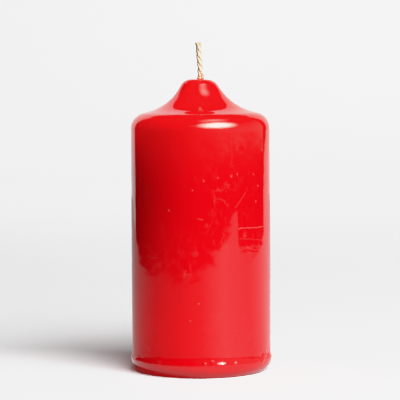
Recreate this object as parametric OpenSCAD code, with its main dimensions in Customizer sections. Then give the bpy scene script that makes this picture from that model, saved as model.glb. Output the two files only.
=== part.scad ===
// Overdipped pillar candle: a pale wax core in a glossy dyed coat, with a
// three-strand cotton wick held by a metal clip and a wax plug in the base.
// Millimetres, +Z up, origin at the centre of the base.

/* [Body] */
// Diameter of the straight wall
body_d = 70; // [66:1:80]
// Height of the wax, from the base to the tip
wax_h = 146.5; // [110:0.5:180]
// Thickness of the dyed coat on the wall
coat_t = 1.5; // [1:0.1:2.5]

/* [Tip and shoulder] */
// Width of the flat at the tip
tip_flat_d = 8.2; // [7:0.1:10]
// Radius of the edge round the flat
tip_round_r = 6; // [5:0.5:7]
// Slope of the cone's side, in degrees from vertical
cone_angle = 33; // [28:1:36]
// Straight length of the cone's side
cone_len = 2.6; // [2:0.1:4]
// Radius of the hollow sweep from the cone to the shoulder
neck_sweep_r = 26; // [22:1:28]
// Slope of the shoulder, in degrees under horizontal
shoulder_slope = 15; // [12:1:20]
// Radius of the corner from the shoulder to the wall
shoulder_round_r = 8.3; // [6:0.1:9]

/* [Foot] */
// How far the run-off bead stands out from the wall
bead_out = 0.5; // [0.4:0.05:1.2]
// Height of the bead's ridge above the base
ridge_h = 6.6; // [6:0.1:7.5]
// Height at which the wall starts to flare into the bead
flare_h = 10.8; // [10:0.1:16]
// Radius of the bead under its ridge
foot_round_r = 7.6; // [7.6:0.1:10]

/* [Wick] */
// Height of the wick above the tip
wick_stand = 18.7; // [8:0.1:25]
// Diameter of one twisted strand
strand_d = 1.18; // [1:0.02:1.3]
// Length in which a strand goes once round the wick
twist_lead = 10.7; // [10:0.1:13]
// Turn of the first strand where it leaves the wax, in degrees
twist_phase = 73; // [0:1:119]
// How far the wick's end leans to the left
wick_lean = 0.6; // [0:0.1:2]
// Size of the slight bow just above the wax
wick_bow = 1.6; // [0:0.1:2]
// Height of the wax drawn up round the wick
collar_h = 1.2; // [0.6:0.1:2]

/* [Base] */
// Diameter of the clip's plate
clip_d = 20; // [16:1:24]
// Thickness of the clip's sheet metal
clip_t = 0.3; // [0.2:0.05:0.5]
// Height of the clip's neck above its plate
clip_neck_h = 6; // [4:0.5:9]
// Depth of the recess in the base that holds the clip
recess_h = 4.2; // [3:0.1:6]

/* [Hidden] */
$fn = 96;
STRANDS = 3;
STRAND_SIDES = 8;
RINGS_PER_TURN = 10;
HELIX_SHARE = 0.65;    // centre circle of the strands, as a share of strand_d
TUFT_H = 3;            // stretch over which the wick's end opens
TUFT_OPENING = 0.25;   // how much its centre circle grows there
FLARE_POWER = 1.25;     // how late the wall turns out into the bead
PLUG_EDGE = 0.4;       // the plug's edge above the base
PLUG_DISH = 0.6;       // how much deeper its middle is
RIM_GAP = 1;           // wax between the clip's rim and the recess wall
WICK_GAP = 0.06;       // wick to its bore
STEP_Z = 0.01;         // for the direction of a path

body_r = body_d / 2;
core_r = body_r - coat_t;
bead_r = body_r + bead_out;
helix_r = strand_d * HELIX_SHARE;
bore_r = helix_r + strand_d / 2 + WICK_GAP;
collar_w = 0.75 * collar_h;
recess_r = clip_d / 2 + RIM_GAP;
neck_r = bore_r + clip_t;
neck_top = recess_h + clip_neck_h;
wick_base = recess_h - clip_t;
wick_top = wax_h + wick_stand;
foot_angle = asin(ridge_h / foot_round_r);
shoulder_angle = 90 - shoulder_slope;

function dir(a) = [cos(a), sin(a)];
function arc(c, r, from, to, n) =
    [for (i = [0 : n]) c + r * dir(from + (to - from) * i / n)];
function reversed(list) = [for (i = [len(list) - 1 : -1 : 0]) list[i]];

// Centres of the arcs that make up the side of the candle's top.
tip_c = [tip_flat_d / 2, wax_h - tip_round_r];
cone_end = tip_c + tip_round_r * dir(cone_angle) + cone_len * dir(cone_angle - 90);
sweep_c = cone_end + neck_sweep_r * dir(cone_angle);
sweep_end = sweep_c - neck_sweep_r * dir(shoulder_angle);
corner_x = body_r - shoulder_round_r;
corner_start_x = corner_x + shoulder_round_r * cos(shoulder_angle);
corner_start_z = sweep_end[1] - (corner_start_x - sweep_end[0]) * tan(shoulder_slope);
corner_c = [corner_x, corner_start_z - shoulder_round_r * sin(shoulder_angle)];

// The tip, cone and shoulder, from the flat out to the wall, inset by t.
function top_side(t) = concat(
    arc(tip_c, tip_round_r - t, 90, cone_angle, 8),
    arc(sweep_c, -neck_sweep_r - t, cone_angle, shoulder_angle, 14),
    arc(corner_c, shoulder_round_r - t, shoulder_angle, 0, 10));

// The foot under the ridge, for a wall of radius r at the ridge.
function foot_side(r) = arc([r - foot_round_r, ridge_h], foot_round_r, 0, -foot_angle, 10);

// The wall's slow turn out into the run-off bead.
function flare_side() = [for (i = [0 : 8])
    [body_r + bead_out * pow(i / 8, FLARE_POWER), flare_h + (ridge_h - flare_h) * i / 8]];

// The wax drawn up round the wick's root, from the top of it down to the tip's flat.
function collar_side() = [for (i = [0 : 5])
    let (d = dir(90 * i / 5))
    [bore_r + collar_w * (1 - d[0]), wax_h + collar_h * (1 - d[1])]];

module wax_core() {
    color("antiquewhite")
    rotate_extrude()
        polygon(concat(
            [[bore_r, wax_h - coat_t]],
            top_side(coat_t),
            foot_side(core_r),
            [[recess_r, 0], [recess_r, recess_h], [neck_r, recess_h],
             [neck_r, neck_top], [bore_r, neck_top]]));
}

module colour_coat() {
    color("crimson")
    rotate_extrude()
        polygon(concat(
            collar_side(),
            top_side(0),
            flare_side(),
            foot_side(bead_r),
            reversed(foot_side(core_r)),
            reversed(top_side(coat_t)),
            [[bore_r, wax_h - coat_t]]));
}

// Where the wick's own axis runs: straight in the wax, leaning above it.
function wick_axis(z) =
    let (t = max(0, z - wax_h - collar_h) / (wick_stand - collar_h))
    [wick_bow * sin(180 * t) * pow(1 - t, 3) - wick_lean * t, 0];

function strand_point(k, z) =
    let (
        opening = max(0, 1 - (wick_top - z) / TUFT_H),
        r = helix_r * (1 + TUFT_OPENING * opening * opening),
        c = wick_axis(z) + r * dir(strand_turn(k, z))
    )
    [c[0], c[1], z];

function strand_turn(k, z) = twist_phase + 360 * (k / STRANDS - (z - wax_h) / twist_lead);

function unit(v) = v / norm(v);

// One ring of a strand, square to its path. The end rings are cut level.
function strand_ring(k, z) =
    let (
        c = strand_point(k, z),
        along = unit(strand_point(k, z + STEP_Z) - strand_point(k, z - STEP_Z)),
        a = dir(strand_turn(k, z)),
        side = unit(cross(along, [a[0], a[1], 0])),
        out = cross(side, along),
        at_end = z == wick_base || z == wick_top
    )
    [for (i = [0 : STRAND_SIDES - 1])
        let (
            d = dir(360 * i / STRAND_SIDES) * strand_d / 2,
            p = c + d[0] * out + d[1] * side
        )
        at_end ? p + along * (z - p[2]) / along[2] : p];

module wick_strand(k) {
    rings = ceil((wick_top - wick_base) / twist_lead * RINGS_PER_TURN);
    sides = STRAND_SIDES;
    points = [for (i = [0 : rings])
        each strand_ring(k, i == rings ? wick_top
            : wick_base + (wick_top - wick_base) * i / rings)];
    walls = [for (i = [0 : rings - 1], j = [0 : sides - 1])
        let (a = i * sides + j, b = i * sides + (j + 1) % sides)
        each [[a, a + sides, b], [b, a + sides, b + sides]]];
    ends = [
        [for (j = [0 : sides - 1]) j],
        [for (j = [sides - 1 : -1 : 0]) rings * sides + j]];
    color("wheat")
    polyhedron(points, concat(walls, ends));
}

module wick_clip() {
    color("silver")
    rotate_extrude()
        polygon(concat(
            [[bore_r, neck_top], [neck_r, neck_top]],
            [[neck_r, recess_h], [clip_d / 2, recess_h]],
            [[clip_d / 2, wick_base], [bore_r, wick_base]]));
}

module base_plug() {
    color("antiquewhite")
    rotate_extrude()
        polygon(concat(
            [for (i = [0 : 8])
                [recess_r * i / 8, PLUG_EDGE + PLUG_DISH * (1 - pow(i / 8, 2))]],
            [[recess_r, recess_h], [clip_d / 2, recess_h],
             [clip_d / 2, wick_base], [0, wick_base]]));
}

wax_core();
colour_coat();
wick_strand(0);  // wick_strand_1
wick_strand(1);  // wick_strand_2
wick_strand(2);  // wick_strand_3
wick_clip();
base_plug();
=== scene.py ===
"""A red overdipped pillar candle on a white table, in soft studio light.

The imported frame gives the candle's place and main sizes. Lengths are in metres and
angles in degrees. +Z is up and the viewer looks along +Y. An azimuth is 0 on the
viewer's side of the candle and grows towards the viewer's right.
"""

import random
from math import asin, atan2, cos, degrees, exp, hypot, pi, radians, sin, tan

import bmesh
import bpy
from mathutils import Matrix, Vector, noise


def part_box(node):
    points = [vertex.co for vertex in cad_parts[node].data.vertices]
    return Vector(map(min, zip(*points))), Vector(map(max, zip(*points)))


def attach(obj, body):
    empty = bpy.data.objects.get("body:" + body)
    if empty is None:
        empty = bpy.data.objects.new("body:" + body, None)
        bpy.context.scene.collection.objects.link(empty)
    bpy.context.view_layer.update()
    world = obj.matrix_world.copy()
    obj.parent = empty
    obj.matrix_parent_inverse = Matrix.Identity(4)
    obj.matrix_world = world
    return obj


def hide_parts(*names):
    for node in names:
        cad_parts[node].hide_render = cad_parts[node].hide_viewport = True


MM = 0.001

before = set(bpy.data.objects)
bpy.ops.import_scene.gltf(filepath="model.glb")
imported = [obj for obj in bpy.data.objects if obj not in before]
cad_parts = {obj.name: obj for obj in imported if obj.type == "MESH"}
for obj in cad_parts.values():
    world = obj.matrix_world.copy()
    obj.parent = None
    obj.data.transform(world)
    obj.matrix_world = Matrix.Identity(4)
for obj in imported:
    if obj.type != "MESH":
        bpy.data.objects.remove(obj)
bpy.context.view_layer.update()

# ---------------------------------------------------------------- sizes of the candle

BEAD_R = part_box("colour_coat")[1].x
CORE_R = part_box("wax_core")[1].x
CORE_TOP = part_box("wax_core")[1].z
WICK_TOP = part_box("wick_strand_1")[1].z
WICK_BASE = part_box("wick_strand_1")[0].z

# The shape that the boxes don't give, as in the CAD source.
COAT_T = 1.5 * MM
COLLAR_H = 1.2 * MM
COLLAR_W = 0.9 * MM
TIP_FLAT_R = 4.1 * MM
TIP_ROUND_R = 6 * MM
CONE_ANGLE = 33
CONE_LEN = 2.6 * MM
SWEEP_R = 26 * MM
SHOULDER_SLOPE = 15
SHOULDER_ROUND_R = 8.3 * MM
FLARE_H = 10.8 * MM
FLARE_POWER = 1.25
RIDGE_H = 6.6 * MM
FOOT_ROUND_R = 7.6 * MM
STRANDS = 3
STRAND_D = 1.18 * MM
HELIX_R = 0.65 * STRAND_D
BORE_R = HELIX_R + STRAND_D / 2 + 0.06 * MM
TWIST_LEAD = 10.7 * MM
TWIST_PHASE = 73
TUFT_H = 3 * MM
TUFT_OPENING = 0.25
WICK_LEAN = 0.6 * MM
WICK_BOW = 1.6 * MM

# Each strand of the wick is a bundle of yarns, twisted the other way.
YARNS = 5
YARN_R = 0.225 * MM
YARN_OUT = STRAND_D / 2 - YARN_R
YARN_LEAD = 5.2 * MM
FIBRE_R = 0.016 * MM

BODY_R = CORE_R + COAT_T
WAX_H = CORE_TOP + COAT_T
WICK_STAND = WICK_TOP - WAX_H

# How finely the pieces are made, and how many loose fibres each strand has.
COAT_SIDES = 330
HIDDEN_STEPS = 120
SHOWN_STEPS = 110
FUZZ_FIBRES = 90
FRAYED_FIBRES = 70
WICK_SEED = 11


# ---------------------------------------------------------------- shader helpers

class Shader:
    """A material's node tree, with short calls for the nodes that the finishes share."""

    def __init__(self, name):
        self.mat = bpy.data.materials.new(name)
        self.mat.use_nodes = True
        self.tree = self.mat.node_tree
        self.body = self.tree.nodes["Principled BSDF"]
        self.place = self.add("ShaderNodeTexCoord").outputs["Object"]

    def add(self, kind, **settings):
        node = self.tree.nodes.new(kind)
        for key, value in settings.items():
            setattr(node, key, value)
        return node

    def put(self, socket, value):
        if isinstance(value, bpy.types.NodeSocket):
            self.tree.links.new(value, socket)
        else:
            socket.default_value = value

    def set(self, **values):
        """Sets the Principled shader's inputs: an underscore stands for a space."""
        for key, value in values.items():
            self.put(self.body.inputs[key.replace("_", " ")], value)

    def maths(self, operation, a, b=0.0):
        node = self.add("ShaderNodeMath", operation=operation)
        self.put(node.inputs[0], a)
        self.put(node.inputs[1], b)
        return node.outputs[0]

    def axis(self, name):
        node = self.add("ShaderNodeSeparateXYZ")
        self.put(node.inputs[0], self.place)
        return node.outputs[name]

    def scaled(self, per_axis):
        node = self.add("ShaderNodeMapping")
        self.put(node.inputs["Vector"], self.place)
        node.inputs["Scale"].default_value = per_axis
        return node.outputs[0]

    def noise(self, size, detail=3, roughness=0.5, per_axis=None):
        """Fractal noise whose features are about this size."""
        node = self.add("ShaderNodeTexNoise")
        self.put(node.inputs["Vector"], self.scaled(per_axis) if per_axis else self.place)
        node.inputs["Scale"].default_value = 1 / size
        node.inputs["Detail"].default_value = detail
        node.inputs["Roughness"].default_value = roughness
        return node.outputs["Fac"]

    def cells(self, size):
        """Distance to the nearest of points strewn about this far apart, in metres."""
        node = self.add("ShaderNodeTexVoronoi")
        self.put(node.inputs["Vector"], self.place)
        node.inputs["Scale"].default_value = 1 / size
        return self.maths("MULTIPLY", node.outputs["Distance"], size)

    def span(self, value, low, high, to_low=0.0, to_high=1.0, smooth=True):
        """Maps low..high to to_low..to_high, held at both ends."""
        node = self.add("ShaderNodeMapRange")
        node.interpolation_type = "SMOOTHSTEP" if smooth else "LINEAR"
        for key, number in zip(("Value", "From Min", "From Max", "To Min", "To Max"),
                               (value, low, high, to_low, to_high)):
            self.put(node.inputs[key], number)
        return node.outputs["Result"]

    def blend(self, share, a, b):
        """Mixes two colours, from all of a at 0 to all of b at 1."""
        node = self.add("ShaderNodeMix", data_type="RGBA")
        self.put(node.inputs["Factor"], share)
        for socket, colour in ((node.inputs[6], a), (node.inputs[7], b)):
            self.put(socket, colour if isinstance(colour, bpy.types.NodeSocket) else (*colour, 1))
        return node.outputs[2]

    def ramp(self, value, stops):
        """A grey ramp through (position, level) stops."""
        node = self.add("ShaderNodeValToRGB")
        self.put(node.inputs[0], value)
        points = node.color_ramp.elements
        while len(points) < len(stops):
            points.new(0.5)
        for point, (at, level) in zip(points, stops):
            point.position = at
            point.color = (level, level, level, 1)
        return node.outputs["Color"]

    def bump(self, height, depth, before=None):
        """Height from 0 to 1 stands for this depth in metres."""
        node = self.add("ShaderNodeBump")
        self.put(node.inputs["Height"], height)
        node.inputs["Strength"].default_value = 1
        node.inputs["Distance"].default_value = depth
        if before is not None:
            self.put(node.inputs["Normal"], before)
        return node.outputs[0]


# ---------------------------------------------------------------- camera and studio

MIDDLE = (0, 0, 0.09)

# The share of the light that the film takes, and its curve as (light, shown) points.
FILM = 0.25
FILM_CURVE = ((0.3, 0.3), (0.6, 0.6), (0.75, 0.735), (0.88, 0.83), (1, 0.862), (1.3, 0.888), (2, 0.97))


def add_camera():
    """A long lens a metre away, a little above the candle's tip and looking slightly down."""
    cam = bpy.data.objects.new("camera", bpy.data.cameras.new("camera"))
    cam.data.lens = 182.7
    cam.data.sensor_width = 36
    cam.location = (-0.0003, -1.02, 0.161)
    pitch, roll = 4.222, -0.36
    level = Matrix.Rotation(radians(90 - pitch), 3, "X")
    cam.rotation_euler = (level @ Matrix.Rotation(radians(roll), 3, "Z")).to_euler()
    bpy.context.scene.collection.objects.link(cam)
    bpy.context.scene.camera = cam


def set_exposure():
    """A high-key print: the film is underexposed, and its curve lifts it with a soft shoulder."""
    scene = bpy.context.scene
    scene.cycles.film_exposure = FILM
    scene.view_settings.view_transform = "Standard"
    scene.view_settings.look = "None"
    scene.view_settings.use_curve_mapping = True
    curves = scene.view_settings.curve_mapping
    shoulder = curves.curves[3]
    for light, shown in FILM_CURVE:
        shoulder.points.new(light * FILM, shown)
    curves.update()


def toward(azimuth, elevation, distance):
    """A place at this distance from the candle's middle."""
    a, e = radians(azimuth), radians(elevation)
    return Vector(MIDDLE) + distance * Vector((sin(a) * cos(e), -cos(a) * cos(e), sin(e)))


def add_softbox(name, azimuth, elevation, distance, size, radiance, tint, aim=MIDDLE, spread=180):
    """A flat light that faces the candle. Its mirror image comes from a card instead."""
    lamp = bpy.data.lights.new(name, "AREA")
    lamp.shape = "ELLIPSE"
    lamp.size, lamp.size_y = size
    lamp.energy = radiance * pi * (pi / 4 * size[0] * size[1])
    lamp.color = tint
    lamp.spread = radians(spread)
    box = bpy.data.objects.new(name, lamp)
    box.location = toward(azimuth, elevation, distance)
    box.rotation_euler = (Vector(aim) - box.location).to_track_quat("-Z", "Y").to_euler()
    box.visible_glossy = box.visible_camera = False
    bpy.context.scene.collection.objects.link(box)
    return box


def light_only(lamp, thing):
    """Makes the lamp light this one thing."""
    lit = bpy.data.collections.new(lamp.name + "_lights")
    lit.objects.link(thing)
    lamp.light_linking.receiver_collection = lit


def stage_object(name, bm, material):
    mesh = bpy.data.meshes.new(name)
    bm.to_mesh(mesh)
    bm.free()
    mesh.shade_smooth()
    mesh.materials.append(material)
    thing = bpy.data.objects.new(name, mesh)
    bpy.context.scene.collection.objects.link(thing)
    return thing


def white_paper():
    s = Shader("white_paper")
    s.set(Base_Color=s.blend(s.noise(0.12, 2), (0.89, 0.89, 0.895), (0.91, 0.91, 0.915)))
    s.set(Roughness=0.9, Specular_IOR_Level=0)
    s.set(Normal=s.bump(s.noise(0.0015, 4), 0.00002))
    return s.mat


def add_sweep():
    """The white paper that the candle stands on, which curves up into a wall behind."""
    bm = bmesh.new()
    half, front, back, bend_r, top = 3.0, -3.0, 1.5, 0.6, 3.0
    line = [(front, 0)]
    line += [(back + bend_r * sin(radians(t)), bend_r * (1 - cos(radians(t)))) for t in range(0, 91, 6)]
    line += [(back + bend_r, top)]
    verts = [bm.verts.new((-half, y, z)) for y, z in line]
    edges = [bm.edges.new(pair) for pair in zip(verts, verts[1:])]
    made = bmesh.ops.extrude_edge_only(bm, edges=edges)["geom"]
    far_side = [g for g in made if isinstance(g, bmesh.types.BMVert)]
    bmesh.ops.translate(bm, verts=far_side, vec=(2 * half, 0, 0))
    bmesh.ops.recalc_face_normals(bm, faces=bm.faces)
    sweep = stage_object("paper_sweep", bm, white_paper())
    sweep.visible_glossy = sweep.visible_diffuse = False
    return sweep


def add_card(name, bm, material, mirrored=True):
    """A glowing card, which the glossy wax mirrors, or else one that only adds soft light."""
    card = stage_object(name, bm, material)
    for flag in ("camera", "transmission", "volume_scatter", "shadow"):
        setattr(card, "visible_" + flag, False)
    card.visible_glossy = mirrored
    card.visible_diffuse = not mirrored
    return card


def card_light(name, strength, tint=(1, 1, 1)):
    """Glows by place: strength, and tint where it varies, take the shader and return a socket."""
    s = Shader(name)
    glow = s.add("ShaderNodeEmission")
    s.put(glow.inputs["Color"], tint(s) if callable(tint) else (*tint, 1))
    s.put(glow.inputs["Strength"], strength(s))
    out = s.tree.nodes["Material Output"]
    s.tree.links.new(glow.outputs[0], out.inputs["Surface"])
    s.tree.nodes.remove(s.body)
    return s.mat


def turn_share(s):
    """Azimuth as a share of a full turn, from 0 straight behind, over the left, to 1."""
    flipped = s.maths("MULTIPLY", s.axis("Y"), -1.0)
    angle = s.maths("ARCTAN2", s.axis("X"), flipped)
    return s.maths("ADD", s.maths("DIVIDE", angle, 2 * pi), 0.5)


def by_azimuth(s, stops):
    """A level that goes round the candle through (azimuth, level) stops."""
    return s.ramp(turn_share(s), [(az / 360 + 0.5, level) for az, level in stops])


def wall_card(name, r, start, end, low, high, material):
    """Part of an upright cylinder round the candle, between two azimuths and heights."""
    bm = bmesh.new()
    foot = bm.verts.new((r * sin(radians(start)), -r * cos(radians(start)), low))
    head = bm.verts.new((foot.co.x, foot.co.y, high))
    edge = bm.edges.new((foot, head))
    bmesh.ops.spin(
        bm, geom=[foot, head, edge], cent=(0, 0, 0), axis=(0, 0, 1),
        angle=radians(end - start), steps=24, use_merge=False,
    )
    add_card(name, bm, material)


def add_back_card():
    """The bright wall behind. Its right edge leans back towards the top."""
    def strength(s):
        edge = s.span(s.axis("Z"), 0.0, 0.09, 125 / 360 + 0.5, 138 / 360 + 0.5)
        past = s.maths("SUBTRACT", turn_share(s), edge)
        shown = s.maths("MAXIMUM", s.span(past, 0.0, 0.006), s.maths("LESS_THAN", s.axis("X"), 0.0))
        return s.maths("MULTIPLY", shown, 1.12)

    def tint(s):
        return s.blend(s.span(s.axis("X"), -0.3, 0.5), (1, 1, 1), (1, 0.95, 0.86))

    wall_card("back_card", 1.25, 124, 224, -0.05, 1.15, card_light("back_glow", strength, tint))


def add_skirt_card():
    """The dim sides of the big light, with a soft lower edge."""
    def strength(s):
        across = by_azimuth(s, [(-20, 0.0), (0, 0.25), (22, 0.5), (34, 1.0), (60, 0.9), (125, 0.9)])
        lower, upper = s.span(s.axis("Z"), 0.035, 0.08, 0.0, 0.62), s.span(s.axis("Z"), 0.2, 0.9, 1, 0.4)
        return s.maths("MULTIPLY", across, s.maths("MULTIPLY", lower, upper))

    glow = card_light("skirt_glow", strength, (1, 0.93, 0.86))
    wall_card("skirt_card", 1.3, -20, 126, 0.03, 0.95, glow)


def add_disc(name, azimuth, elevation, size, centre):
    """The mirror image of a light: an oval, brightest in its middle and dark at its rim."""
    bm = bmesh.new()
    bmesh.ops.create_circle(bm, cap_ends=True, segments=48, radius=1)

    def strength(s):
        away = s.add("ShaderNodeVectorMath", operation="LENGTH")
        s.put(away.inputs[0], s.place)
        return s.span(away.outputs["Value"], 0, 1, centre, 0.0)

    card = add_card(name, bm, card_light(name + "_glow", strength, (1, 0.87, 0.76)))
    card.location = toward(azimuth, elevation, 1.1)
    card.rotation_euler = (Vector(MIDDLE) - card.location).to_track_quat("Z", "Y").to_euler()
    card.scale = (*size, 1)


def add_table_card():
    """The edge of the lit table as the wax mirrors it, brightest towards the key light."""
    rim = (
        (-0.6, 1.2), (-0.5, -0.2), (-0.2, -0.4), (0.1, -0.55), (0.5, -0.6),
        (0.8, -0.6), (1.0, -0.55), (0.6, -0.3), (0.6, 0.1), (0.7, 1.2),
    )
    bm = bmesh.new()
    bm.faces.new([bm.verts.new((x, y, 0.0004)) for x, y in rim])

    def strength(s):
        far = by_azimuth(s, [
            (-180, 0.6), (-110, 0.45), (-75, 0.2), (-30, 0.2), (0, 0.35),
            (35, 1.2), (80, 0.7), (125, 1.0), (180, 0.6),
        ])
        away = s.add("ShaderNodeVectorMath", operation="DISTANCE")
        s.put(away.inputs[0], s.place)
        away.inputs[1].default_value = (-0.004, 0.002, 0)
        distance = away.outputs["Value"]
        lit = s.blend(s.span(distance, 0.045, 0.075), (0.95, 0.95, 0.95), far)
        # Painted shadow: the glow turns nearly black in a ring right round the foot, where the candle
        # shades the table it stands on.
        return s.blend(s.span(distance, 0.033, 0.0365), (0.04, 0.04, 0.04), lit)

    add_card("table_card", bm, card_light("table_glow", strength))


def add_bounce_card():
    """The light that the table throws back up, strongest close to the candle."""
    bm = bmesh.new()
    bmesh.ops.create_circle(bm, cap_ends=True, segments=64, radius=0.6)
    bmesh.ops.translate(bm, verts=bm.verts, vec=(0, 0, -0.0004))

    def strength(s):
        away = s.add("ShaderNodeVectorMath", operation="LENGTH")
        s.put(away.inputs[0], s.place)
        distance = away.outputs["Value"]
        outer = s.span(distance, 0.07, 0.16, 1.75, 0.25)
        # Painted shadow: the glow drops to about a third near the foot, where the candle shades the table.
        return s.maths("MULTIPLY", outer, s.span(distance, 0.04, 0.08, 0.35, 1.0))

    add_card("bounce_card", bm, card_light("bounce_glow", strength), mirrored=False)


def add_world():
    """A pale room that only the camera sees, past the edge of the paper."""
    world = bpy.data.worlds.new("studio")
    bpy.context.scene.world = world
    world.use_nodes = True
    world.node_tree.nodes["Background"].inputs["Color"].default_value = (1.2, 1.2, 1.22, 1)
    for ray in ("diffuse", "glossy", "transmission", "scatter"):
        setattr(world.cycles_visibility, ray, False)


def add_studio():
    add_camera()
    set_exposure()
    add_world()
    sweep = add_sweep()
    add_softbox("key_softbox", 32, 36, 1.15, (1.5, 1.0), 7.6, (0.99, 0.99, 1))
    add_softbox("top_fill", 180, 75, 1.9, (2.6, 2.0), 0.5, (1, 0.95, 0.9))
    add_softbox("wall_wash", 163, 50, 1.75, (1.8, 0.9), 9.1, (0.99, 0.99, 1), aim=(0.3, 2.4, 0.6))
    spill = add_softbox("key_spill", 34, 35, 1.15, (1.3, 0.9), 2.7, (0.99, 0.99, 1))
    light_only(spill, sweep)
    add_back_card()
    add_bounce_card()
    add_table_card()
    add_skirt_card()
    add_disc("key_card", 31.5, 35.5, (0.8, 0.54), 38)
    add_disc("upper_card", 42, 69, (0.45, 0.26), 7)
    add_disc("window_card", -13, 33, (0.13, 0.1), 2)


def add_kicker(coat):
    """Light that soaks down through the wax from its lit shoulder."""
    lamp = add_softbox(
        "kicker", -75, 27, 0.125, (0.045, 0.045), 1.1, (1, 0.98, 0.95), aim=(0, 0, 0.135), spread=50,
    )
    light_only(lamp, coat)


# ---------------------------------------------------------------- outline of the wax

def turn(a):
    """The direction at this angle, in the plane of the section."""
    return Vector((cos(radians(a)), sin(radians(a))))


def arc(centre, r, start, end, steps):
    """Points along an arc between two angles."""
    return [centre + r * turn(start + (end - start) * i / steps) for i in range(steps + 1)]


def top_side(t, finer=1):
    """The tip, cone and shoulder out to the wall, inset by t."""
    high = 90 - SHOULDER_SLOPE
    tip = Vector((TIP_FLAT_R, WAX_H - TIP_ROUND_R))
    cone_end = tip + TIP_ROUND_R * turn(CONE_ANGLE) + CONE_LEN * turn(CONE_ANGLE - 90)
    sweep = cone_end + SWEEP_R * turn(CONE_ANGLE)
    sweep_end = sweep - SWEEP_R * turn(high)
    corner_x = BODY_R - SHOULDER_ROUND_R
    start_x = corner_x + SHOULDER_ROUND_R * cos(radians(high))
    start_z = sweep_end.y - (start_x - sweep_end.x) * tan(radians(SHOULDER_SLOPE))
    corner = Vector((corner_x, start_z - SHOULDER_ROUND_R * sin(radians(high))))
    return (
        arc(tip, TIP_ROUND_R - t, 90, CONE_ANGLE, 8 * finer)
        + arc(sweep, -SWEEP_R - t, CONE_ANGLE, high, 14 * finer)
        + arc(corner, SHOULDER_ROUND_R - t, high, 0, 10 * finer)
    )


def foot_side(r, steps):
    """The foot from the ridge to the base, for a wall of radius r at the ridge."""
    down = degrees(asin(RIDGE_H / FOOT_ROUND_R))
    return arc(Vector((r - FOOT_ROUND_R, RIDGE_H)), FOOT_ROUND_R, 0, -down, steps)


def flare_side(steps):
    """The wall's slow turn out into the run-off bead."""
    return [
        Vector((
            BODY_R + (BEAD_R - BODY_R) * (i / steps) ** FLARE_POWER,
            FLARE_H + (RIDGE_H - FLARE_H) * i / steps,
        ))
        for i in range(steps + 1)
    ]


def collar_side(steps):
    """The wax drawn up round the wick's root."""
    return [
        Vector((BORE_R + COLLAR_W * (1 - turn(a).x), WAX_H + COLLAR_H * (1 - turn(a).y)))
        for a in (90 * i / steps for i in range(steps + 1))
    ]


def spread(line, gap):
    """The same line with points added so that none is further apart than gap(height)."""
    out = [line[0]]
    for p, q in zip(line, line[1:]):
        n = max(1, round((q - p).length / gap((p.y + q.y) / 2)))
        out += [p.lerp(q, i / n) for i in range(1, n + 1) if (q - p).length > 0.01 * MM]
    return out


def spun(outline, steps):
    """A closed section spun round the candle's axis."""
    bm = bmesh.new()
    verts = [bm.verts.new((p.x, 0, p.y)) for p in outline]
    edges = [bm.edges.new((verts[i - 1], verts[i])) for i in range(len(verts))]
    bmesh.ops.spin(
        bm, geom=verts + edges, cent=(0, 0, 0), axis=(0, 0, 1),
        angle=2 * pi, steps=steps, use_merge=True,
    )
    bmesh.ops.recalc_face_normals(bm, faces=bm.faces)
    return bm


def finish_piece(bm, name, material, node):
    mesh = bpy.data.meshes.new(name)
    bm.to_mesh(mesh)
    bm.free()
    mesh.shade_smooth()
    mesh.materials.append(material)
    piece = bpy.data.objects.new(name, mesh)
    bpy.context.scene.collection.objects.link(piece)
    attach(piece, "root")
    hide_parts(node)
    return piece


# ---------------------------------------------------------------- the red coat

# The marks on the wax are in degrees of azimuth and millimetres.

# Wax that ran and set while the candle was dipped: azimuth, height, length, width, thickness.
RUNS = (
    (-11, 52, 14, 1.7, 0.20), (-5, 63, 4, 1.5, 0.25), (-2, 72, 5, 1.0, 0.10),
    (29, 47, 40, 1.6, -0.05), (38, 72, 18, 2.6, 0.10), (-52, 96, 22, 1.3, 0.08),
    (64, 100, 26, 1.8, 0.10), (-38, 20, 16, 2.0, 0.08), (118, 40, 34, 2.0, 0.22),
    (164, 66, 26, 1.8, 0.25), (-150, 34, 20, 1.7, 0.20), (-104, 78, 30, 2.2, 0.15),
)

# Creases across the wall: azimuth of the middle, height, half width in degrees, depth.
CREASES = (
    (47, 72.5, 17, 0.10), (50, 66, 14, 0.07), (44, 62.5, 16, 0.06), (52, 59, 10, 0.05),
    (-50, 58, 10, 0.06), (-47, 54, 9, 0.05), (-53, 50, 8, 0.05), (130, 55, 20, 0.08),
    (-130, 88, 16, 0.06), (175, 30, 15, 0.07),
)

# Specks of wax spattered on the wall: azimuth, height.
SPECKS = (
    (-6.5, 93), (2.5, 97.5), (14, 99), (25.5, 99.5), (31, 100.5), (48, 100), (60.5, 111.5), (54, 94),
    (51, 86.5), (-26.5, 83), (-2, 37.5), (-9, 29), (-47, 41.5), (-41, 124.5), (105, 90), (140, 60),
    (-170, 100), (-140, 70), (-95, 112), (-120, 35), (80, 48), (178, 44),
)
SPECK_REACH = 1.5 * MM

# Scratches on the wall: both ends as azimuth and height, half width, strength.
SCRATCHES = (
    ((32, 73.8), (62, 73.4), 0.32, 0.9), ((39, 91), (29, 84), 0.25, 0.45),
    ((-59, 98), (-60, 85), 0.25, 0.3), ((33, 69), (58, 67), 0.25, 0.35),
    ((40, 64), (60, 61.5), 0.3, 0.5), ((-50, 60), (-37, 59), 0.25, 0.25),
    ((-3, 79), (2, 78.6), 0.3, 0.5), ((12, 124), (17, 123), 0.3, 0.2),
    ((-80, 60), (-95, 66), 0.3, 0.5), ((110, 84), (142, 86), 0.25, 0.6),
    ((172, 50), (165, 66), 0.3, 0.4), ((-120, 104), (-138, 100), 0.25, 0.5),
)
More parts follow.
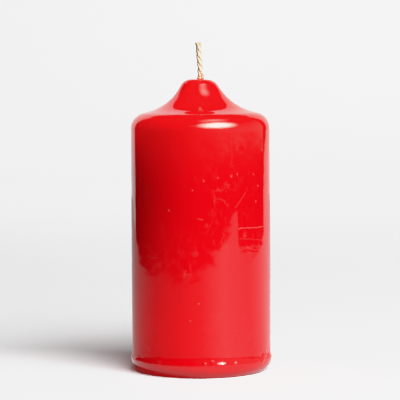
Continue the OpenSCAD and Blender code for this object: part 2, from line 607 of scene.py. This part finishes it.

# Patches where the wall was rubbed, and one painted highlight: azimuth, height, half width, half height,
# strength.
RUBS_AND_SHEEN = (
    (20, 91, 7, 9, 0.65), (9, 88, 3, 8, 0.5), (12, 76, 8, 9, 0.35), (18, 69, 7, 8, 0.4),
    (50, 65, 9, 8, 0.35), (-50, 60, 9, 9, 0.2), (28, 112, 10, 12, 0.25), (-11, 54, 3, 9, 0.5),
    # The pale pink patch at 66° on the foot's wrinkled right corner is partly a painted highlight.
    (66, 9, 9, 6, 0.6), (-52, 12, 6, 4, 0.4),
    (130, 70, 16, 20, 0.4), (-130, 90, 16, 16, 0.4), (178, 40, 14, 14, 0.4),
)

# Beads on the foot's ridge: azimuth, height, half width.
LUMPS = (
    (2.5, 7.4, 0.7), (8.6, 8.2, 0.7), (16.5, 7.0, 2.4), (29.5, 7.2, 1.6), (-36, 8.6, 1.2), (108, 7.2, 1.8),
    (151, 7.6, 1.2), (-162, 7.0, 2.2), (-117, 7.4, 1.4), (-88, 8.0, 1.0),
)


def bell(x):
    """A smooth hump, 1 at its middle."""
    return exp(-x * x)


def run_relief(p, azimuth, run):
    """A drop at the lower end of a trail that thins out upwards."""
    at, low, length, width, thick = run
    across = (azimuth - at) * radians(1) * BODY_R / MM
    if abs(across) > 3 * width:
        return 0.0
    up = p.z / MM - low
    wander = 0.5 * width * noise.noise(Vector((at, 0, up / 9)))
    trail = thick * 0.5 * bell((across - wander) / (0.5 * width)) if 0 < up < length else 0.0
    trail *= min(1.0, max(0.0, (length - up) / (0.6 * length)))
    return trail + thick * bell(hypot(across - wander, up / 1.6) / (0.62 * width))


def crease_relief(p, azimuth, crease):
    """A raised line with a groove above it, sagging to both sides."""
    at, height, half, depth = crease
    side = (azimuth - at) / half
    if abs(side) > 1:
        return 0.0
    line = height + 1.6 * noise.noise(Vector((azimuth / 14, height, 0.5))) - 2.5 * side * side
    above = p.z / MM - line
    return 0.15 * depth * (1 - side * side) * (bell(above / 0.8) - bell((above - 1.3) / 0.9))


def flare(z, top):
    """How far the wall has turned out at z, where the flare starts at this top."""
    share = min(1.0, max(0.0, (top - z) / (top - RIDGE_H)))
    return (BEAD_R - BODY_R) * share ** FLARE_POWER


def ridge_relief(z, azimuth):
    """The uneven ridge round the foot and the beads along it."""
    high = 0.07 * bell((z - 6.8) / 0.6) * (1 + 1.6 * noise.noise(Vector((azimuth / 4, 3.1, 0))))
    for at, height, half in LUMPS:
        across = (azimuth - at) * radians(1) * BEAD_R / MM
        high += 0.34 * bell(across / half) * bell((z - height) / 1.1)
    return high


def wrinkled(azimuth):
    """How wrinkled the foot is on this side: most at the viewer's right."""
    corners = ((70, 13, 3.4), (-60, 10, 0.9), (15, 15, 0.3), (150, 25, 0.6), (-140, 30, 0.5))
    return sum(strength * bell((azimuth - at) / half) for at, half, strength in corners)


def foot_relief(p, azimuth):
    """Wax squeezed into wrinkles and beads where the foot was trimmed and dipped again."""
    z = p.z / MM
    wrinkles = 0.17 * wrinkled(azimuth) * bell((z - 8) / 3.2) * noise.fractal(p / (1.9 * MM), 0.6, 2.0, 3)
    dip = 1.6 * sin(radians(azimuth)) ** 2 + 0.5 * noise.noise(Vector((azimuth / 22, 0, 7)))
    top = FLARE_H - dip * MM
    moved = (flare(p.z, top) - flare(p.z, FLARE_H)) / MM if p.z > RIDGE_H else 0.0
    return wrinkles + ridge_relief(z, azimuth) + moved


def relief(p):
    """How far the skin stands off its plain outline here. The tip leans, lower on the right."""
    azimuth = degrees(atan2(p.x, -p.y))
    high = 0.11 * noise.noise(Vector((p.x, p.y, 0.7 * p.z)) / (34 * MM))
    high += 0.034 * noise.noise(p / (9 * MM)) + 0.013 * noise.noise(p / (3.5 * MM))
    if 9 * MM < p.z < 118 * MM:
        high += sum(run_relief(p, azimuth, run) for run in RUNS)
        high += sum(crease_relief(p, azimuth, crease) for crease in CREASES)
    if p.z < 20 * MM:
        high += foot_relief(p, azimuth)
    high -= 0.3 * p.x / (7 * MM) * bell((p.z - WAX_H) / (6 * MM))
    fade = min(1.0, max(0.0, p.z - 0.6 * MM) / (2 * MM)) * min(1.0, hypot(p.x, p.y) / (6 * MM)) ** 2
    return high * fade * MM


def on_wall(azimuth, height):
    a = radians(azimuth)
    return Vector((BODY_R * sin(a), -BODY_R * cos(a), height))


def speck_verts(bm, at, reach):
    return [v for v in bm.verts if abs(v.co.z - at.z) < reach and (v.co - at).length < reach]


def add_specks(bm):
    """Raises a small pale dome at each speck, on a mesh made finer there."""
    pale = bm.verts.layers.float.new("pale")
    for azimuth, height in SPECKS:
        at = on_wall(azimuth, height * MM)
        near = speck_verts(bm, at, SPECK_REACH)
        inside = set(near)
        edges = dict.fromkeys(e for v in near for e in v.link_edges if e.other_vert(v) in inside)
        bmesh.ops.subdivide_edges(bm, edges=list(edges), cuts=3, use_grid_fill=True)
        size = (0.34 + 0.2 * noise.noise(at * 900)) * MM
        out = Vector((at.x, at.y, 0)).normalized()
        for v in speck_verts(bm, at, SPECK_REACH - 0.1 * MM):
            if v.co.dot(out) > CORE_R:
                dome = bell((v.co - at).length / size)
                v.co += out * 0.35 * size * dome
                v[pale] = dome


def add_relief(bm):
    """Moves the skin along its normals and leaves the hidden inside as it is."""
    bm.normal_update()
    moves = []
    for v in bm.verts:
        out = Vector((v.co.x, v.co.y, 0)).normalized()
        if v.normal.dot(out) + 0.3 * v.normal.z > 0.1:
            moves.append((v, v.normal * relief(v.co)))
    for v, move in moves:
        v.co += move


def stroke(s, across, up, start, end, width):
    """A thin line on the unrolled wall between two places, each an azimuth and a height."""
    start, end = [Vector((radians(az) * BODY_R, height * MM)) for az, height in (start, end)]
    along, length = (end - start).normalized(), (end - start).length
    dx, dz = s.maths("SUBTRACT", across, start.x), s.maths("SUBTRACT", up, start.y)
    on = s.maths("ADD", s.maths("MULTIPLY", dx, along.x), s.maths("MULTIPLY", dz, along.y))
    off = s.maths("SUBTRACT", s.maths("MULTIPLY", dx, along.y), s.maths("MULTIPLY", dz, along.x))
    past = s.maths("SUBTRACT", on, s.maths("MINIMUM", s.maths("MAXIMUM", on, 0.0), length))
    far = s.maths("ADD", s.maths("ABSOLUTE", off), s.maths("ABSOLUTE", past))
    return s.span(far, 0.2 * width * MM, width * MM, 1.0, 0.0)


def rub(s, across, up, azimuth, height, half_w, half_h):
    """A soft oval on the unrolled wall."""
    dx = s.maths("DIVIDE", s.maths("SUBTRACT", across, radians(azimuth) * BODY_R), half_w * MM)
    dz = s.maths("DIVIDE", s.maths("SUBTRACT", up, height * MM), half_h * MM)
    squares = s.maths("ADD", s.maths("MULTIPLY", dx, dx), s.maths("MULTIPLY", dz, dz))
    return s.span(squares, 0.0, 1.0, 1.0, 0.0)


def scratched(s, across, up, marks):
    """The marks so far with the scratches added."""
    for start, end, width, level in SCRATCHES:
        line = s.maths("MULTIPLY", stroke(s, across, up, start, end, width), level)
        marks = s.maths("MAXIMUM", marks, line)
    return marks


def rubbed_and_sheen(s, across, up):
    """Fine lines and blots, strong in the rubbed patches and in the painted highlight on the foot, and
    weak elsewhere.
    """
    ridges = s.maths("ABSOLUTE", s.maths("SUBTRACT", s.noise(0.011, 3, 0.55, per_axis=(1, 1, 0.5)), 0.5))
    lines = s.span(ridges, 0.0, 0.025, 0.4, 0.0)
    blots = s.span(s.noise(0.0035, 5, 0.65, per_axis=(1, 1, 0.8)), 0.52, 0.74, 0.0, 1.0)
    strength = s.span(s.noise(0.03, 2), 0.45, 0.75, 0.0, 0.16)
    for azimuth, height, half_w, half_h, level in RUBS_AND_SHEEN:
        oval = s.maths("MULTIPLY", rub(s, across, up, azimuth, height, half_w, half_h), level)
        strength = s.maths("MAXIMUM", strength, oval)
    return s.maths("MULTIPLY", s.maths("MAXIMUM", lines, blots), strength)


def dusted(s):
    dust = s.span(s.cells(0.0034), 0.0001, 0.00022, 1.0, 0.0)
    return s.maths("MULTIPLY", dust, s.span(s.noise(0.016, 2), 0.45, 0.7, 0.0, 0.7))


def pale_marks(s):
    """Specks, scratches, rubs, dust and a painted highlight on the foot, as a share of pale colour from 0
    to 1.
    """
    angle = s.maths("ARCTAN2", s.axis("X"), s.maths("MULTIPLY", s.axis("Y"), -1.0))
    wander = s.maths("MULTIPLY", s.maths("SUBTRACT", s.noise(0.004, 2), 0.5), 1.6 * MM)
    across = s.maths("ADD", s.maths("MULTIPLY", angle, BODY_R), wander)
    up = s.maths("ADD", s.axis("Z"), wander)
    specks = s.add("ShaderNodeAttribute", attribute_name="pale").outputs["Fac"]
    marks = s.maths("MAXIMUM", scratched(s, across, up, specks), rubbed_and_sheen(s, across, up))
    return s.maths("MAXIMUM", marks, dusted(s))


def coat_wax():
    s = Shader("coat_wax")
    red, deep, pale = (0.70, 0.0015, 0.006), (0.64, 0.001, 0.004), (0.73, 0.006, 0.008)
    colour = s.blend(s.noise(0.03, 3), deep, red)
    # Painted light: the red turns paler up towards the shoulder, standing in for the brighter light that
    # falls there.
    colour = s.blend(s.span(s.axis("Z"), 0.09, 0.128, 0.0, 0.8), colour, pale)
    marks = pale_marks(s)
    colour = s.blend(s.maths("MULTIPLY", marks, 0.5), colour, (0.92, 0.16, 0.14))
    soaked = s.span(s.axis("Z"), WAX_H + 0.1 * MM, WAX_H + 0.8 * MM)
    s.set(Base_Color=s.blend(soaked, colour, (0.86, 0.36, 0.21)))
    s.set(Roughness=s.span(marks, 0.0, 1.0, 0.055, 0.2), Specular_IOR_Level=0.5)
    grain = s.bump(s.noise(0.0009, 3), 6e-6)
    peel = s.bump(s.noise(0.004, 2), 0.8e-6, grain)
    s.set(Normal=s.bump(s.noise(0.008, 2, per_axis=(1, 1, 9)), 1.2e-6, peel))
    return s.mat


def build_coat():
    outside = spread(
        collar_side(4) + top_side(0, 2) + flare_side(8) + foot_side(BEAD_R, 20),
        lambda z: 0.5 * MM if z < 14 * MM else 0.85 * MM,
    )
    inside = list(reversed(foot_side(CORE_R, 6))) + list(reversed(top_side(COAT_T)))
    inside = spread(inside, lambda z: 200 * MM) + [Vector((BORE_R, WAX_H - COAT_T))]
    bm = spun(outside + inside, COAT_SIDES)
    add_relief(bm)
    add_specks(bm)
    return finish_piece(bm, "wax_coat", coat_wax(), "colour_coat")


# ---------------------------------------------------------------- the wick

def wick_line(z):
    """The wick's middle: a slight bow above the wax, then a lean to the left."""
    t = max(0.0, z - WAX_H - COLLAR_H) / (WICK_STAND - COLLAR_H)
    return Vector((WICK_BOW * sin(pi * t) * (1 - t) ** 3 - WICK_LEAN * t, 0, z))


def loose_at(z):
    """The yarns lie looser above the wax that grips them."""
    return min(1.0, max(0.0, (z - WAX_H - COLLAR_H) / (1.5 * MM)))


def opening_at(z):
    """How far the tuft has opened: 0 below it and 1 at the cut end."""
    return max(0.0, 1 + (z - WICK_TOP) / TUFT_H)


def strand_line(k, z):
    """A strand's middle, and the direction from the wick's middle to it."""
    angle = radians(TWIST_PHASE + 360 * (k / STRANDS - (z - WAX_H) / TWIST_LEAD))
    out = Vector((cos(angle), sin(angle), 0))
    off = HELIX_R * (1 + TUFT_OPENING * opening_at(z) ** 2) * (1 + 0.12 * loose_at(z))
    return wick_line(z) + off * out, out


def yarn_point(k, j, z, off=YARN_OUT):
    """A yarn's middle. The yarns run straight below the wax, where nobody sees them."""
    step = 0.05 * MM
    centre, out = strand_line(k, z)
    along = (strand_line(k, z + step)[0] - strand_line(k, z - step)[0]).normalized()
    angle = 2 * pi * (j / YARNS + max(z - WAX_H, -3 * MM) / YARN_LEAD)
    spread_out = off * (1 + 0.6 * opening_at(z) ** 2) * (1 + 0.22 * loose_at(z))
    return centre + spread_out * (cos(angle) * out + sin(angle) * along.cross(out))


def add_tube(curve, points, radii):
    """A round thread through these points. Radii are shares of a yarn's."""
    line = curve.splines.new("POLY")
    line.points.add(len(points) - 1)
    for point, place, r in zip(line.points, points, radii):
        point.co = (*place, 1)
        point.radius = r


def add_yarn(curve, rng, k, j):
    """One yarn of a strand, from the clip to the cut end."""
    top = WICK_TOP - YARN_R - rng.uniform(0.0, 0.7) * MM
    hidden = WAX_H - 2 * MM
    heights = [WICK_BASE + (hidden - WICK_BASE) * i / HIDDEN_STEPS for i in range(HIDDEN_STEPS)]
    heights += [hidden + (top - hidden) * i / SHOWN_STEPS for i in range(SHOWN_STEPS + 1)]
    points = [yarn_point(k, j, z) for z in heights]
    radii = [1 + 0.08 * noise.noise(Vector((k, j, z / (1.3 * MM)))) + 0.28 * loose_at(z) for z in heights]
    radii[-1] *= 0.7
    add_tube(curve, points, radii)


def add_fuzz(curve, rng, k):
    """Loose ends of fibre along the strand."""
    for _ in range(FUZZ_FIBRES):
        z = rng.uniform(WAX_H + 3 * MM, WICK_TOP - 0.4 * MM)
        j = rng.randrange(YARNS)
        root = yarn_point(k, j, z)
        away = yarn_point(k, j, z, STRAND_D / 2 + 0.1 * MM) - strand_line(k, z)[0]
        away = away.normalized() * rng.uniform(0.2, 0.6) + Vector((0, 0, rng.uniform(-0.3, 1)))
        length, curl = rng.uniform(0.4, 1.1) * MM, Vector([rng.uniform(-1, 1) for _ in range(3)])
        points = [root + length * (t * away + 0.5 * t * t * curl) for t in (0, 0.25, 0.5, 0.75, 1)]
        points = [Vector((p.x, p.y, min(p.z, WICK_TOP - FIBRE_R))) for p in points]
        add_tube(curve, points, [FIBRE_R / YARN_R * f for f in (1, 1, 0.9, 0.75, 0.5)])


def add_frayed_end(curve, rng, k):
    """The cut end, where each yarn opens into a brush of fibres."""
    for _ in range(FRAYED_FIBRES):
        j, z = rng.randrange(YARNS), WICK_TOP - rng.uniform(0.9, 2.2) * MM
        off = rng.uniform(0, STRAND_D / 2)
        root = yarn_point(k, j, z, off)
        end = yarn_point(k, j, WICK_TOP - rng.uniform(0.02, 0.8) * MM, off * rng.uniform(1.0, 1.7))
        bend = Vector([rng.uniform(-0.12, 0.12) * MM for _ in range(2)] + [0])
        points = [root.lerp(end, t) + bend * sin(pi * t) for t in (0, 0.25, 0.5, 0.75, 1)]
        add_tube(curve, points, [FIBRE_R / YARN_R * f for f in (1.4, 1.4, 1.3, 1.1, 0.7)])


def add_stray_yarn(curve):
    """One short yarn end, stuck to the right of the wick's root by wax."""
    foot, tip = Vector((1.15, -0.35, -0.4)) * MM, Vector((1.95, -0.45, 2.7)) * MM
    steps = [i / 12 for i in range(13)]
    line = [foot.lerp(tip, t) + Vector((0.35 * sin(pi * t), 0, 0)) * MM for t in steps]
    add_tube(curve, [p + Vector((0, 0, WAX_H)) for p in line], [1.5 - 0.9 * t ** 2 for t in steps])


def wick_cotton():
    s = Shader("wick_cotton")
    z = s.axis("Z")
    fibres = s.noise(0.00012, 3, 0.6, per_axis=(1, 1, 0.25))
    cotton = s.blend(fibres, (0.76, 0.60, 0.40), (0.97, 0.86, 0.66))
    cotton = s.blend(s.span(s.noise(0.0022, 2), 0.35, 0.7), cotton, (0.92, 0.77, 0.56))
    # Painted shade: the wick's left side, turned away from the key light, is painted dark brown, darkest
    # in notches that follow the strands' twist.
    turns = s.maths("SINE", s.maths("MULTIPLY", z, 2 * pi * STRANDS / TWIST_LEAD))
    middle = s.span(z, WAX_H, WICK_TOP, 0.4 * MM, -WICK_LEAN, smooth=False)
    edge = s.maths("SUBTRACT", s.axis("X"), middle)
    shaded = s.maths("ADD", edge, s.maths("MULTIPLY", turns, 0.3 * MM))
    cotton = s.blend(s.span(shaded, -1.2 * MM, -0.4 * MM), (0.22, 0.17, 0.10), cotton)
    wander = s.maths("MULTIPLY", s.noise(0.0009, 2), 1.6 * MM)
    level = s.maths("ADD", z, wander)
    cotton = s.blend(s.span(level, WAX_H + 1.3 * MM, WAX_H + 4.6 * MM), (0.86, 0.42, 0.27), cotton)
    cotton = s.blend(s.span(level, WAX_H + 0.5 * MM, WAX_H + 1.9 * MM), (0.70, 0.10, 0.05), cotton)
    s.set(Base_Color=cotton)
    s.set(Roughness=s.span(level, WAX_H + 1.5 * MM, WAX_H + 4.5 * MM, 0.4, 0.9))
    s.set(Sheen_Weight=0.25, Sheen_Roughness=0.5, Specular_IOR_Level=0.3)
    s.set(Normal=s.bump(fibres, 0.00002))
    return s.mat


def build_wick():
    cotton = wick_cotton()
    for k in range(STRANDS):
        rng = random.Random(k + WICK_SEED)
        name = f"wick_yarns_{k + 1}"
        curve = bpy.data.curves.new(name, "CURVE")
        curve.dimensions = "3D"
        curve.bevel_depth = YARN_R
        curve.bevel_resolution = 2
        curve.use_fill_caps = True
        for j in range(YARNS):
            add_yarn(curve, rng, k, j)
        add_fuzz(curve, rng, k)
        add_frayed_end(curve, rng, k)
        if k == STRANDS - 1:
            add_stray_yarn(curve)
        curve.materials.append(cotton)
        strand = bpy.data.objects.new(name, curve)
        bpy.context.scene.collection.objects.link(strand)
        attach(strand, "root")
        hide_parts(f"wick_strand_{k + 1}")


# ---------------------------------------------------------------- the core, the plug and the clip

def core_wax():
    s = Shader("core_wax")
    grain = s.noise(0.0007, 4, 0.65)
    cloudy = s.blend(s.noise(0.012, 3), (0.80, 0.70, 0.55), (0.88, 0.80, 0.67))
    s.set(Base_Color=s.blend(s.span(grain, 0.55, 0.75), cloudy, (0.72, 0.60, 0.44)))
    s.set(Roughness=s.span(grain, 0.3, 0.7, 0.42, 0.6))
    s.set(Normal=s.bump(grain, 0.00008, s.bump(s.noise(0.006, 2), 0.0003)))
    return s.mat


def plug_wax():
    """Wax poured into the base, which set with fine rings and a few pits."""
    s = Shader("plug_wax")
    rings = s.add("ShaderNodeTexWave", wave_type="RINGS", rings_direction="Z")
    s.put(rings.inputs["Vector"], s.place)
    rings.inputs["Scale"].default_value = 240
    rings.inputs["Distortion"].default_value = 2.5
    pits = s.span(s.cells(0.0022), 0.0001, 0.0004)
    colour = s.blend(s.noise(0.005, 3), (0.76, 0.66, 0.49), (0.86, 0.78, 0.63))
    s.set(Base_Color=s.blend(pits, (0.60, 0.49, 0.33), colour))
    s.set(Roughness=s.span(s.noise(0.002, 3), 0.3, 0.7, 0.3, 0.48))
    s.set(Normal=s.bump(pits, 0.0002, s.bump(rings.outputs["Fac"], 0.00005)))
    return s.mat


def clip_tinplate():
    s = Shader("clip_tinplate")
    brushed = s.noise(0.0004, 4, 0.6, per_axis=(0.08, 1, 1))
    spots = s.span(s.noise(0.0015, 4, 0.7), 0.6, 0.72)
    tin = s.blend(brushed, (0.62, 0.62, 0.61), (0.76, 0.76, 0.75))
    s.set(Base_Color=s.blend(spots, tin, (0.36, 0.27, 0.19)), Metallic=1.0)
    s.set(Roughness=s.span(brushed, 0.2, 0.8, 0.24, 0.4), Normal=s.bump(brushed, 0.00001))
    return s.mat


def finish_nodes():
    """Gives the CAD's own pieces their finishes."""
    finishes = {"wax_core": core_wax(), "base_plug": plug_wax(), "wick_clip": clip_tinplate()}
    for node, material in finishes.items():
        for holder in bpy.data.objects[node].material_slots:
            holder.material = material


add_studio()
add_kicker(build_coat())
build_wick()
finish_nodes()
